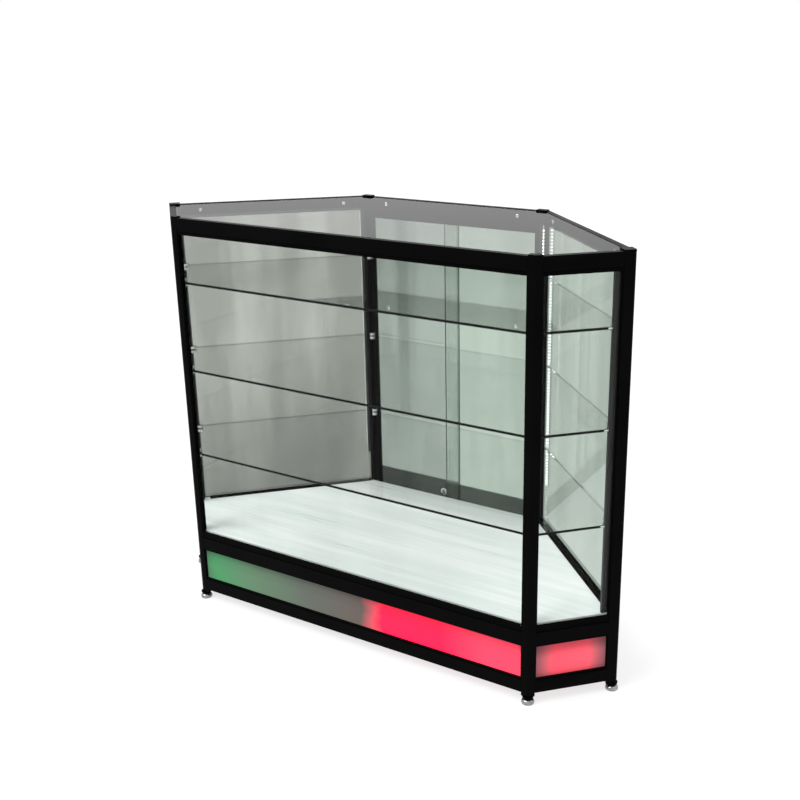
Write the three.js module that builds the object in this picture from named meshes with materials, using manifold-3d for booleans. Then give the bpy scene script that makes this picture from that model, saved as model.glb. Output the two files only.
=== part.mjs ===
// Corner display counter: a six-sided glass case on a lit plinth, framed in black aluminium.
// Seen from above, the plan is a square with two opposite corners cut off. The long front faces the
// shop, the two ends butt against straight counters, and the back has two sliding glass doors.
// Units are millimetres. +Z is up, +Y runs from the front to the back, +X to the shopper's right.
// The origin lies on the floor, under the middle of the case.

import * as THREE from 'three';
import { mergeVertices } from 'three/addons/utils/BufferGeometryUtils.js';
import Module from 'manifold-3d';

const wasm = await Module();
wasm.setup();

// Driving dimensions of the plan
const squareSide = 904;
const endDepth = 515;
const returnWidth = 217;

// Driving heights, above the underside of the bottom rails
const frameHeight = 1000;
const midRailLevel = 122;

// The shelves' top faces, as shares of the way from the base board to the top of the frame
const shelfShares = [0.2636, 0.5355, 0.8079];

// Clearances
const fit = 0.3;
const overrun = 1;

// Frame sections
const railHeight = 32;
const railDepth = 15;
const backRailDepth = 20.5;
const frontPostFace = 17;
const frontPostDepth = 16;
const endPostFace = 27;
const backPostStart = 2;
const backPostWidth = 28;
const backPostDepth = 18;
const postChamfer = 3;
const postDrop = 8.5;
const capThickness = 2.6;
const capSeam = 0.4;

// Glass and how it is held
const paneThickness = 5;
const paneInset = 6;
const paneEngagement = 6;
const topGlassThickness = 6;
const topGlassRecess = 1;
const shelfThickness = 6;
const shelfInset = 13.5;
const shelfBackInset = 24;
const shelfNotch = 3.5;

// Ledges inside the rails
const glassLedge = 4.5;
const boardLedge = 12;
const ledgeThickness = 2.5;

// Base board and plinth panels
const boardThickness = 18;
const plinthPanelThickness = 4;

// Sliding doors at the back
const doorGlassThickness = 5;
const doorRailThickness = 8.4;
const doorRailHeight = 48;
const doorRailWall = 1.4;
const doorGlassSeat = 13;
const outerDoorCentre = 5;
const innerDoorCentre = 15.4;
const doorOverlap = 36;
const doorSideGap = 2;
const doorLift = 1.5;
const trackHeight = 26;
const trackSlot = 6.4;
const trackSlotDepth = 23;
const doorTopEngagement = 12;
const ridgeWidth = 2;
const ridgeHeight = 3;

// Door rollers
const rollerRadius = 6;
const rollerTreadRadius = 5;
const rollerTreadWidth = 2.8;
const rollerWidth = 4.6;
const rollerAxleRadius = 1.5;
const rollerFromEnd = 40;
const rollerRoom = 20;

// Lock in the outer door
const lockFlangeRadius = 10;
const lockBarrelRadius = 6.2;
const lockPlugRadius = 4;
const lockOuterFlange = 2.4;
const lockInnerFlange = 0.8;
const lockFromInnerDoor = 13;
const lockAboveDoorBottom = 27;
const keySlotLength = 5;
const keySlotWidth = 1.2;
const keySlotDepth = 4;

// Upright light bars
const lightWidth = 14;
const lightDepth = 8;
const lightWall = 1.2;
const lightHollow = 5;
const lightNotch = 1;
const backLightStart = 12;
const backLightFoot = 92;

// Shelf clips
const clipRadius = 8;
const clipOffset = 3;
const clipHeight = 20;

// Levelling feet
const footHeight = 28;
const footInset = 9;
const padRadius = 15;
const padRimHeight = 3;
const padShoulderRadius = 11.5;
const padHeight = 8;
const collarRadius = 11;
const stemRadius = 4;
const stemLength = 26;

// Facets of round pieces
const footSegments = 24;
const lockSegments = 24;
const rollerSegments = 16;
const clipSegments = 20;
const boreSegments = 12;

// Materials
function finish(color, roughness, metalness, extra = {}) {
  return new THREE.MeshStandardMaterial({ color, roughness, metalness, ...extra });
}

const blackAluminium = finish(0x0b0b0c, 0.35, 0.6);
const clearGlass = finish(0xc9ddd2, 0.05, 0, { transparent: true, opacity: 0.25 });
const whiteBoard = finish(0xf1f5f2, 0.35, 0);
const frostedAcrylic = finish(0xe8707f, 0.5, 0);
const darkPanel = finish(0x161616, 0.6, 0);
const chrome = finish(0xd8dadc, 0.12, 1);
const silverAluminium = finish(0x9a9c9d, 0.4, 0.8);
const nylon = finish(0xe4e0d6, 0.5, 0);

// Solids
function prism(points, low, high) {
  const shape = new THREE.Shape(points.map(([x, y]) => new THREE.Vector2(x, y)));
  const settings = { depth: high - low, bevelEnabled: false };
  return new THREE.ExtrudeGeometry(shape, settings).translate(0, 0, low);
}

// A bar's outline is drawn in [inward, up] and runs along the side, from start to end.
function bar(outline, start, end) {
  const alongSide = new THREE.Matrix4().makeBasis(
    new THREE.Vector3(0, 1, 0),
    new THREE.Vector3(0, 0, 1),
    new THREE.Vector3(1, 0, 0),
  );
  return prism(outline, start, end).applyMatrix4(alongSide);
}

function block([x0, x1], [y0, y1], [z0, z1]) {
  const box = new THREE.BoxGeometry(x1 - x0, y1 - y0, z1 - z0);
  return box.translate((x0 + x1) / 2, (y0 + y1) / 2, (z0 + z1) / 2);
}

// A round bar that stands on Z
function roundBar(radius, [x, y], [z0, z1], segments) {
  const pin = new THREE.CylinderGeometry(radius, radius, z1 - z0, segments);
  return pin.rotateX(Math.PI / 2).translate(x, y, (z0 + z1) / 2);
}

// A round bar that lies along Y
function crossPin(radius, [x, z], [y0, y1], segments) {
  const pin = new THREE.CylinderGeometry(radius, radius, y1 - y0, segments);
  return pin.translate(x, (y0 + y1) / 2, z);
}

// A turned profile is drawn in [radius, height] and stands on Z.
function turned(profile, segments) {
  const points = profile.map(([radius, height]) => new THREE.Vector2(radius, height));
  return new THREE.LatheGeometry(points, segments).rotateX(Math.PI / 2);
}

function toSolid(geometry) {
  const bare = geometry.clone();
  bare.deleteAttribute('normal');
  bare.deleteAttribute('uv');
  const merged = mergeVertices(bare);
  return new wasm.Manifold(new wasm.Mesh({
    numProp: 3,
    vertProperties: new Float32Array(merged.attributes.position.array),
    triVerts: new Uint32Array(merged.index.array),
  }));
}

function toGeometry(solid) {
  const mesh = solid.getMesh();
  const geometry = new THREE.BufferGeometry();
  geometry.setAttribute('position', new THREE.BufferAttribute(mesh.vertProperties, 3));
  geometry.setIndex(new THREE.BufferAttribute(mesh.triVerts, 1));
  return geometry;
}

function cutAway(geometry, cutters) {
  const cut = cutters.reduce((solid, cutter) => solid.subtract(toSolid(cutter)), toSolid(geometry));
  return toGeometry(cut);
}

function joined(geometries) {
  const [first, ...others] = geometries.map(toSolid);
  return toGeometry(others.reduce((solid, other) => solid.add(other), first));
}

const cabinet = new THREE.Group();

function place(name, geometry, material, parent = cabinet) {
  const mesh = new THREE.Mesh(geometry, material);
  mesh.name = name;
  parent.add(mesh);
  return mesh;
}

// Plan: the outer corners, anticlockwise from the front left one
const diagonal = Math.SQRT1_2;
const frontWidth = (squareSide - returnWidth) / diagonal;
const backWidth = (squareSide - endDepth) / diagonal;
const planDepth = (returnWidth + endDepth) * diagonal;
const endX = frontWidth / 2 + returnWidth * diagonal;
const frontY = -planDepth / 2;
const endY = frontY + returnWidth * diagonal;
const backY = planDepth / 2;

const corners = [
  { name: 'front_left', kind: 'front', at: [-frontWidth / 2, frontY] },
  { name: 'front_right', kind: 'front', at: [frontWidth / 2, frontY] },
  { name: 'end_right', kind: 'end', at: [endX, endY] },
  { name: 'back_right', kind: 'back', at: [backWidth / 2, backY] },
  { name: 'back_left', kind: 'back', at: [-backWidth / 2, backY] },
  { name: 'end_left', kind: 'end', at: [-endX, endY] },
];

const sides = [
  { name: 'front', kind: 'front' },
  { name: 'return_right', kind: 'return' },
  { name: 'end_right', kind: 'end' },
  { name: 'back', kind: 'back' },
  { name: 'end_left', kind: 'end' },
  { name: 'return_left', kind: 'return' },
];

// How far from the corner a side's rails stop. An end side's rails run on past the back corner,
// because the flank of the back post cuts them.
function railStop(corner, side) {
  if (corner.kind === 'front') return frontPostFace;
  if (corner.kind === 'end') return endPostFace;
  return side.kind === 'back' ? backPostStart + backPostWidth : -backPostStart / diagonal;
}

// How far from the corner a side's glass stops: inside the post's groove, or clear of its flank
function glassStop(corner, side) {
  if (corner.kind !== 'back') return railStop(corner, side) - paneEngagement;
  if (side.kind === 'back') return railStop(corner, side) + fit;
  return paneInset + paneThickness - (backPostStart - fit) / diagonal;
}

sides.forEach((side, i) => {
  const from = corners[i];
  const to = corners[(i + 1) % corners.length];
  const dx = to.at[0] - from.at[0];
  const dy = to.at[1] - from.at[1];
  side.length = Math.hypot(dx, dy);
  side.along = [dx / side.length, dy / side.length];
  side.inward = [-side.along[1], side.along[0]];
  side.railSpan = [railStop(from, side) + fit, side.length - railStop(to, side) - fit];
  side.glassSpan = [glassStop(from, side), side.length - glassStop(to, side)];
  side.backCorner = [from, to].find((corner) => corner.kind === 'back');
  side.group = new THREE.Group();
  side.group.position.set(from.at[0], from.at[1], 0);
  side.group.rotation.z = Math.atan2(dy, dx);
  side.group.updateMatrix();
  cabinet.add(side.group);
  from.after = side;
  to.before = side;
});

const back = sides.find((side) => side.kind === 'back');

// A point near a corner: a distance from it along one of its sides, and inward from that side
function nearCorner(corner, side, [distance, inset]) {
  const sign = side === corner.after ? 1 : -1;
  return [
    corner.at[0] + sign * distance * side.along[0] + inset * side.inward[0],
    corner.at[1] + sign * distance * side.along[1] + inset * side.inward[1],
  ];
}

// Where two lines meet that lie inside the corner's sides by their own insets
function insetCorner(corner, insetBefore, insetAfter) {
  const [ax, ay] = corner.before.inward;
  const [bx, by] = corner.after.inward;
  const determinant = ax * by - ay * bx;
  const x = (insetBefore * by - insetAfter * ay) / determinant;
  const y = (insetAfter * ax - insetBefore * bx) / determinant;
  return [corner.at[0] + x, corner.at[1] + y];
}

// Levels above the floor
const floorToFrame = footHeight;
const bottomRailTop = floorToFrame + railHeight;
const midRailBottom = floorToFrame + midRailLevel;
const midRailTop = midRailBottom + railHeight;
const frameTop = floorToFrame + frameHeight;
const topRailBottom = frameTop - railHeight;
const boardBottom = midRailTop + fit;
const boardTop = boardBottom + boardThickness;
const shelfLevels = shelfShares.map((share) => boardTop + share * (frameTop - boardTop));
const postBottom = floorToFrame - postDrop;
const topGlassBottom = frameTop - topGlassRecess - topGlassThickness;
const grooveDepth = paneEngagement + fit;
const grooveOuter = paneInset - fit;
const grooveInner = paneInset + paneThickness + fit;

// Posts. A back post is a plain block that stands on the back side only. The others follow both
// of their sides, with a groove for the glass in each flank.
const postFace = { front: frontPostFace, end: endPostFace };
const postDepth = { front: frontPostDepth, end: endPostFace, back: backPostDepth };

function flank(corner, side, grow, grooved) {
  const face = postFace[corner.kind] + grow;
  const groove = [
    [face, grooveOuter],
    [face - grooveDepth, grooveOuter],
    [face - grooveDepth, grooveInner],
    [face, grooveInner],
  ];
  const outer = [face, -grow];
  const points = grooved ? [outer, ...groove] : [outer];
  if (corner.kind === 'front') {
    points.push([face, postDepth[corner.kind] + grow]);
  }
  return points.map((point) => nearCorner(corner, side, point));
}

function blockOutline(corner, grow) {
  const near = backPostStart - grow;
  const far = backPostStart + backPostWidth + grow;
  const deep = backPostDepth + grow;
  const points = [[near, -grow], [far, -grow], [far, deep], [near, deep]];
  const outline = points.map((point) => nearCorner(corner, back, point));
  return corner.after === back ? outline : outline.reverse();
}

function postOutline(corner, { grow = 0, grooved = false, chamfer = 0 }) {
  if (corner.kind === 'back') return blockOutline(corner, grow);
  const before = flank(corner, corner.before, grow, grooved).reverse();
  const after = flank(corner, corner.after, grow, grooved);
  const chamferEnds = [corner.before, corner.after].map((side) => (
    nearCorner(corner, side, [chamfer, 0])
  ));
  const tip = chamfer > 0 ? chamferEnds : [insetCorner(corner, -grow, -grow)];
  const deep = postDepth[corner.kind] + grow;
  return [...before, ...tip, ...after, insetCorner(corner, deep, deep)];
}

function footCentre(corner) {
  if (corner.kind !== 'back') return insetCorner(corner, footInset, footInset);
  return nearCorner(corner, back, [backPostStart + backPostWidth / 2, footInset]);
}

// A shelf clip is a half-round on the inner edge of a post, with a slot for the shelf.
function clipCentre(corner) {
  const deep = postDepth[corner.kind] + clipOffset;
  if (corner.kind !== 'back') return insetCorner(corner, deep, deep);
  return nearCorner(corner, back, [backPostStart + backPostWidth - clipRadius, deep]);
}

function clip(corner, high) {
  const [x, y] = clipCentre(corner);
  const centre = high - shelfThickness / 2;
  const span = [centre - clipHeight / 2, centre + clipHeight / 2];
  const slot = block(
    [x - clipRadius - overrun, x + clipRadius + overrun],
    [y - clipRadius - overrun, y + clipRadius + overrun],
    [high - shelfThickness - fit, high + fit],
  );
  const heel = prism(postOutline(corner, { grow: shelfNotch - fit }), postBottom, frameTop);
  const body = roundBar(clipRadius, [x, y], span, clipSegments);
  return cutAway(body, [cutAway(slot, [heel])]);
}

for (const corner of corners) {
  const outline = postOutline(corner, { grooved: true, chamfer: postChamfer });
  const capOutline = postOutline(corner, { chamfer: postChamfer });
  const neckOutline = postOutline(corner, { grow: -capSeam });
  const capBottom = frameTop + capSeam;
  const post = joined([
    prism(outline, postBottom, frameTop),
    prism(neckOutline, frameTop - overrun, capBottom + overrun),
    prism(capOutline, capBottom, capBottom + capThickness),
    ...shelfLevels.map((level) => clip(corner, level)),
  ]);
  const threaded = [postBottom - overrun, postBottom + stemLength + fit];
  const bore = roundBar(stemRadius + fit, footCentre(corner), threaded, boreSegments);
  place(`post_${corner.name}`, cutAway(post, [bore]), blackAluminium);
}

// Levelling feet: a chrome pad, a collar, and a threaded stem that runs up into the post
const footProfile = [
  [0, 0],
  [padRadius, 0],
  [padRadius, padRimHeight],
  [padShoulderRadius, padHeight],
  [collarRadius, padHeight],
  [collarRadius, postBottom - fit],
  [stemRadius, postBottom - fit],
  [stemRadius, postBottom + stemLength],
  [0, postBottom + stemLength],
];
for (const corner of corners) {
  const [x, y] = footCentre(corner);
  const foot = place(`foot_${corner.name}`, turned(footProfile, footSegments), chrome);
  foot.position.set(x, y, 0);
}

// Rails, drawn in [inward, up]
function paneGroove(level, direction) {
  return [
    [grooveInner, level],
    [grooveInner, level + direction * grooveDepth],
    [grooveOuter, level + direction * grooveDepth],
    [grooveOuter, level],
  ];
}

const glassLedgeTop = topGlassBottom - fit;
const topRailUpper = [
  [0, frameTop],
  [railDepth, frameTop],
  [railDepth, glassLedgeTop],
  [railDepth + glassLedge, glassLedgeTop],
  [railDepth + glassLedge, glassLedgeTop - ledgeThickness],
  [railDepth, glassLedgeTop - ledgeThickness],
  [railDepth, topRailBottom],
];
const topRailOutline = [[0, topRailBottom], ...topRailUpper, ...paneGroove(topRailBottom, 1)];

// The back top rail hangs lower, with a slot for each sliding door.
const trackBottom = topRailBottom - trackHeight;

function trackSlotOutline(centre) {
  return [
    [centre + trackSlot / 2, trackBottom],
    [centre + trackSlot / 2, trackBottom + trackSlotDepth],
    [centre - trackSlot / 2, trackBottom + trackSlotDepth],
    [centre - trackSlot / 2, trackBottom],
  ];
}

const backTopRailOutline = [
  [0, trackBottom],
  ...topRailUpper,
  [backRailDepth, topRailBottom],
  [backRailDepth, trackBottom],
  ...trackSlotOutline(innerDoorCentre),
  ...trackSlotOutline(outerDoorCentre),
];

function doorRidge(centre) {
  return [
    [centre - ridgeWidth / 2, midRailTop],
    [centre - ridgeWidth / 2, midRailTop + ridgeHeight],
    [centre + ridgeWidth / 2, midRailTop + ridgeHeight],
    [centre + ridgeWidth / 2, midRailTop],
  ];
}

function midRailOutline(depth, upper) {
  return [
    [0, midRailBottom],
    [0, midRailTop],
    ...upper,
    [depth + boardLedge, midRailTop],
    [depth + boardLedge, midRailTop - ledgeThickness],
    [depth, midRailTop - ledgeThickness],
    [depth, midRailBottom],
    ...paneGroove(midRailBottom, 1),
  ];
}

const doorRidges = [...doorRidge(outerDoorCentre), ...doorRidge(innerDoorCentre)];
const glazedMidRail = midRailOutline(railDepth, paneGroove(midRailTop, -1).reverse());
const backMidRail = midRailOutline(backRailDepth, doorRidges);

const bottomRailOutline = [
  [0, floorToFrame],
  [0, bottomRailTop],
  ...paneGroove(bottomRailTop, -1).reverse(),
  [railDepth, bottomRailTop],
  [railDepth, floorToFrame],
];

// An end side's rails stop at the flank of the back post, and flush with the back of the case.
function rail(side, outline) {
  const whole = bar(outline, ...side.railSpan);
  if (side.kind !== 'end') return whole;
  const reach = squareSide;
  const flankRoom = prism(postOutline(side.backCorner, { grow: fit }), 0, frameTop + overrun);
  const behind = block([-reach, reach], [backY, backY + reach], [0, frameTop + overrun]);
  const intoSide = side.group.matrix.clone().invert();
  return cutAway(whole, [flankRoom, behind].map((cutter) => cutter.applyMatrix4(intoSide)));
}

for (const side of sides) {
  const isBack = side.kind === 'back';
  const outlines = {
    top_rail: isBack ? backTopRailOutline : topRailOutline,
    mid_rail: isBack ? backMidRail : glazedMidRail,
    bottom_rail: bottomRailOutline,
  };
  for (const [kind, outline] of Object.entries(outlines)) {
    place(`${kind}_${side.name}`, rail(side, outline), blackAluminium, side.group);
  }
}

// Fixed panes and plinth panels, held in the grooves of the posts and rails
function panel(side, thickness, low, high) {
  const across = [paneInset, paneInset + thickness];
  return block(side.glassSpan, across, [low - paneEngagement, high + paneEngagement]);
}

for (const side of sides) {
  const lit = side.kind === 'front' || side.kind === 'return';
  const plinth = panel(side, plinthPanelThickness, bottomRailTop, midRailBottom);
  place(`plinth_panel_${side.name}`, plinth, lit ? frostedAcrylic : darkPanel, side.group);
  if (side.kind !== 'back') {
    const pane = panel(side, paneThickness, midRailTop, topRailBottom);
    place(`glass_${side.name}`, pane, clearGlass, side.group);
  }
}

// Upright light bars: channels with an open face. The end ones stand on the return glass, against
// the end post, and shine inward. The back ones stand on the inner face of the back posts and
// shine at the end glass. Their outlines are in [across, out].
const lightOutline = [
  [0, 0],
  [lightWidth, 0],
  [lightWidth, lightDepth],
  [lightWidth - lightWall, lightDepth],
  [lightWidth - lightWall, lightDepth - lightHollow],
  [lightWall, lightDepth - lightHollow],
  [lightWall, lightDepth],
  [0, lightDepth],
];
const lightRoomOutline = [
  [-lightNotch, -lightNotch],
  [lightWidth + lightNotch, -lightNotch],
  [lightWidth + lightNotch, lightDepth + lightNotch],
  [-lightNotch, lightDepth + lightNotch],
];

function returnOf(corner) {
  return corner.before.kind === 'return' ? corner.before : corner.after;
}

const lights = corners.filter((corner) => corner.kind !== 'front').map((corner) => {
  const atEnd = corner.kind === 'end';
  const side = atEnd ? returnOf(corner) : back;
  const fromPoint = atEnd
    ? ([across, out]) => [endPostFace + fit + across, grooveInner + out]
    : ([across, out]) => [backLightStart - out, backPostDepth + fit + across];
  const low = atEnd ? boardTop + fit : boardTop + backLightFoot;
  return { name: corner.name, corner, side, fromPoint, low };
});

function lightSolid({ corner, side, fromPoint }, outline, low, high) {
  const placed = outline.map((point) => nearCorner(corner, side, fromPoint(point)));
  const turn = THREE.ShapeUtils.area(placed.map(([x, y]) => new THREE.Vector2(x, y)));
  return prism(turn < 0 ? placed.reverse() : placed, low, high);
}

for (const light of lights) {
  const solid = lightSolid(light, lightOutline, light.low, topRailBottom - fit);
  place(`light_bar_${light.name}`, solid, silverAluminium);
}

// Flat sheets cut to the plan, with an inset from each side, notched round the posts
function sheet(inset, backInset, [low, high], notch, extraCuts = []) {
  const insetOf = (side) => (side.kind === 'back' ? backInset : inset);
  const outline = corners.map((corner) => (
    insetCorner(corner, insetOf(corner.before), insetOf(corner.after))
  ));
  const rooms = corners.map((corner) => (
    prism(postOutline(corner, { grow: notch }), low - overrun, high + overrun)
  ));
  return cutAway(prism(outline, low, high), [...rooms, ...extraCuts]);
}

// The base board lies on the middle rails, up against the panes.
const boardEdge = grooveInner;
const boardBackEdge = backRailDepth + fit;
place('base_board', sheet(boardEdge, boardBackEdge, [boardBottom, boardTop], fit), whiteBoard);

const topGlassEdge = railDepth + 2 * fit;
const topGlassSpan = [topGlassBottom, topGlassBottom + topGlassThickness];
place('glass_top', sheet(topGlassEdge, topGlassEdge, topGlassSpan, 2 * fit), clearGlass);

const shelfNames = ['lower', 'middle', 'upper'];
shelfLevels.forEach((level, i) => {
  const span = [level - shelfThickness, level];
  const rooms = lights.map((light) => (
    lightSolid(light, lightRoomOutline, span[0] - overrun, span[1] + overrun)
  ));
  const shelf = sheet(shelfInset, shelfBackInset, span, shelfNotch, rooms);
  place(`glass_shelf_${shelfNames[i]}`, shelf, clearGlass);
});

// Sliding doors. Along the back side, distances run from the back right corner.
const doorBottom = midRailTop + doorLift;
const doorRailTop = doorBottom + doorRailHeight;
const doorGlassBottom = doorRailTop - doorGlassSeat;
const doorGlassTop = trackBottom + doorTopEngagement;
const doorHalf = doorRailThickness / 2;
const axleLevel = midRailTop + ridgeHeight + fit + rollerTreadRadius;
const middle = back.length / 2;
const doorEnd = railStop(back.backCorner, back) + doorSideGap;

const doors = [
  { name: 'right', centre: innerDoorCentre, along: [doorEnd, middle + doorOverlap / 2] },
  { name: 'left', centre: outerDoorCentre, along: [middle - doorOverlap / 2, back.length - doorEnd] },
];

function doorRailOutline(centre) {
  const seat = doorGlassThickness / 2 + fit;
  const room = doorHalf - doorRailWall;
  return [
    [centre - doorHalf, doorBottom],
    [centre - doorHalf, doorRailTop],
    [centre - seat, doorRailTop],
    [centre - seat, doorGlassBottom - fit],
    [centre + seat, doorGlassBottom - fit],
    [centre + seat, doorRailTop],
    [centre + doorHalf, doorRailTop],
    [centre + doorHalf, doorBottom],
    [centre + room, doorBottom],
    [centre + room, doorBottom + rollerRoom],
    [centre - room, doorBottom + rollerRoom],
    [centre - room, doorBottom],
  ];
}

// A roller's profile is drawn in [radius, along its axle], with a flange on each side of the tread.
const rollerProfile = [
  [rollerAxleRadius + fit, -rollerWidth / 2],
  [rollerRadius, -rollerWidth / 2],
  [rollerRadius, -rollerTreadWidth / 2],
  [rollerTreadRadius, -rollerTreadWidth / 2],
  [rollerTreadRadius, rollerTreadWidth / 2],
  [rollerRadius, rollerTreadWidth / 2],
  [rollerRadius, rollerWidth / 2],
  [rollerAxleRadius + fit, rollerWidth / 2],
  [rollerAxleRadius + fit, -rollerWidth / 2],
];

// The lock sits in the outer door's rail, just past the edge of the inner door.
const lockAt = [doors[0].along[1] + lockFromInnerDoor, doorBottom + lockAboveDoorBottom];

for (const { name, centre, along } of doors) {
  const axleSpan = [centre - doorHalf + doorRailWall / 2, centre + doorHalf - doorRailWall / 2];
  const axles = [along[0] + rollerFromEnd, along[1] - rollerFromEnd];
  const railBody = joined([
    bar(doorRailOutline(centre), ...along),
    ...axles.map((x) => crossPin(rollerAxleRadius, [x, axleLevel], axleSpan, boreSegments)),
  ]);
  const through = [centre - doorHalf - overrun, centre + doorHalf + overrun];
  const lockHole = crossPin(lockBarrelRadius + fit, lockAt, through, lockSegments);
  const holes = name === 'left' ? [lockHole] : [];
  place(`door_rail_${name}`, cutAway(railBody, holes), blackAluminium, back.group);

  const across = [centre - doorGlassThickness / 2, centre + doorGlassThickness / 2];
  const glass = block(along, across, [doorGlassBottom, doorGlassTop]);
  place(`door_glass_${name}`, glass, clearGlass, back.group);

  axles.forEach((x, i) => {
    const wheel = turned(rollerProfile, rollerSegments).rotateX(Math.PI / 2);
    const roller = place(`roller_${name}_door_${i + 1}`, wheel, nylon, back.group);
    roller.position.set(x, centre, axleLevel);
  });
}

// The lock has a barrel with a flange on each face of the door rail, and a plug that turns in it.
// Depths are inward from the back of the case.
const lockOut = outerDoorCentre - doorHalf - fit;
const lockIn = outerDoorCentre + doorHalf + fit;
const lockSpan = [lockOut - lockOuterFlange, lockIn + lockInnerFlange];
const plugBore = lockPlugRadius + fit;
const barrelProfile = [
  [plugBore, lockSpan[0]],
  [lockFlangeRadius, lockSpan[0]],
  [lockFlangeRadius, lockOut],
  [lockBarrelRadius, lockOut],
  [lockBarrelRadius, lockIn],
  [lockFlangeRadius, lockIn],
  [lockFlangeRadius, lockSpan[1]],
  [plugBore, lockSpan[1]],
  [plugBore, lockSpan[0]],
];
const barrelBody = turned(barrelProfile, lockSegments).rotateX(-Math.PI / 2);
const barrel = place('lock_barrel', barrelBody, chrome, back.group);
barrel.position.set(lockAt[0], 0, lockAt[1]);

const keySlot = block(
  [-keySlotWidth / 2, keySlotWidth / 2],
  [lockSpan[0] - overrun, lockSpan[0] + keySlotDepth],
  [-keySlotLength / 2, keySlotLength / 2],
);
const plugBody = cutAway(crossPin(lockPlugRadius, [0, 0], lockSpan, lockSegments), [keySlot]);
const plug = place('lock_plug', plugBody, chrome, back.group);
plug.position.set(lockAt[0], 0, lockAt[1]);

export default cabinet;
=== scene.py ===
import math

import bmesh
import bpy
from mathutils import Matrix, Vector


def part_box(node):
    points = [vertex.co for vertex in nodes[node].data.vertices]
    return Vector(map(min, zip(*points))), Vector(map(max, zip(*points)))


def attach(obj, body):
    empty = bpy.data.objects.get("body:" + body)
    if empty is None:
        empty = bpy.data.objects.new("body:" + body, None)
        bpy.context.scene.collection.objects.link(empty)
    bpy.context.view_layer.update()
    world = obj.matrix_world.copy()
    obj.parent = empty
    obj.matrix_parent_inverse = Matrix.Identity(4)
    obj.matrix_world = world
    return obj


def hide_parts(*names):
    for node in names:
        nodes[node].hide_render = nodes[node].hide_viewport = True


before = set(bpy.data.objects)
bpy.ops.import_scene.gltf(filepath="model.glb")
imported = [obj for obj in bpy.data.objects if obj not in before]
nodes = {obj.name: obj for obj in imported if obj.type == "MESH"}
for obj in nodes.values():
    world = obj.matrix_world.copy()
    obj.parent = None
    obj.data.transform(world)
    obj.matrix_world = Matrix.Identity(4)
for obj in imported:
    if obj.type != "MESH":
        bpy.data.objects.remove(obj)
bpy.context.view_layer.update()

# The corner display counter: materials on the CAD nodes, and the small pieces that the CAD leaves
# out. Metres, in the frame of the CAD: +X to the shopper's right, +Y to the back, +Z up from the
# floor.
MM = 0.001

# Plan of the case, as in the CAD
SQUARE_SIDE = 904 * MM
END_DEPTH = 515 * MM
RETURN_WIDTH = 217 * MM
DIAGONAL = math.sqrt(0.5)
FRONT_WIDTH = (SQUARE_SIDE - RETURN_WIDTH) / DIAGONAL
BACK_WIDTH = (SQUARE_SIDE - END_DEPTH) / DIAGONAL
HALF_DEPTH = (RETURN_WIDTH + END_DEPTH) * DIAGONAL / 2
END_X = FRONT_WIDTH / 2 + RETURN_WIDTH * DIAGONAL
END_Y = RETURN_WIDTH * DIAGONAL - HALF_DEPTH

CORNERS = [
    ("front_left", "front", (-FRONT_WIDTH / 2, -HALF_DEPTH)),
    ("front_right", "front", (FRONT_WIDTH / 2, -HALF_DEPTH)),
    ("end_right", "end", (END_X, END_Y)),
    ("back_right", "back", (BACK_WIDTH / 2, HALF_DEPTH)),
    ("back_left", "back", (-BACK_WIDTH / 2, HALF_DEPTH)),
    ("end_left", "end", (-END_X, END_Y)),
]
SIDES = ["front", "return_right", "end_right", "back", "end_left", "return_left"]

# Levels
BOTTOM_RAIL_TOP = 60 * MM
MID_RAIL_BOTTOM = 150 * MM
MID_RAIL_TOP = 182 * MM
BOARD_TOP = 200.3 * MM
TOP_RAIL_BOTTOM = 996 * MM
FRAME_TOP = 1028 * MM
SHELF_SHARES = (0.2636, 0.5355, 0.8079)
SHELF_LEVELS = [share * (FRAME_TOP - BOARD_TOP) + BOARD_TOP for share in SHELF_SHARES]
SHELF_THICKNESS = 6 * MM
FIT = 0.3 * MM

# Posts
FRONT_POST_FACE = 17 * MM
END_POST_FACE = 27 * MM
BACK_POST_FLANK = 2.83 * MM


def side_frame(side):
    """The start of a side, its direction, the way in, and its length"""
    i = SIDES.index(side)
    start = Vector(CORNERS[i][2])
    end = Vector(CORNERS[(i + 1) % len(CORNERS)][2])
    along = (end - start).normalized()
    return start, along, Vector((-along.y, along.x)), (end - start).length


def on_side(side, distance, inset, z):
    """A point this far along a side, this far in from it, at this height"""
    start, along, inward, _ = side_frame(side)
    flat = start + along * distance + inward * inset
    return Vector((flat.x, flat.y, z))


def corner_point(corner, before, after):
    """Where two lines meet that lie inside the corner's two sides by their own insets"""
    i = [c[0] for c in CORNERS].index(corner)
    a = side_frame(SIDES[i - 1])[2]
    b = side_frame(SIDES[i])[2]
    det = a.x * b.y - a.y * b.x
    flat = Vector(CORNERS[i][2])
    flat += Vector(((before * b.y - after * a.y) / det, (after * a.x - before * b.x) / det))
    return flat


def stop(corner_index, inset):
    """How far from a corner a piece on an end, return or front side stops, at this inset"""
    kind = CORNERS[corner_index][1]
    if kind == "front":
        return FRONT_POST_FACE + FIT
    if kind == "end":
        return END_POST_FACE + FIT
    return inset - BACK_POST_FLANK + FIT


def span(side, inset):
    """Where a piece at this inset starts and ends along a side"""
    i = SIDES.index(side)
    length = side_frame(side)[3]
    return stop(i, inset), length - stop((i + 1) % len(CORNERS), inset)


# Mesh helpers
SMOOTH_LIMIT = math.radians(35)
BEVEL_LIMIT = math.radians(30)


def in_mm(profile):
    return [(radius * MM, height * MM) for radius, height in profile]


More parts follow.
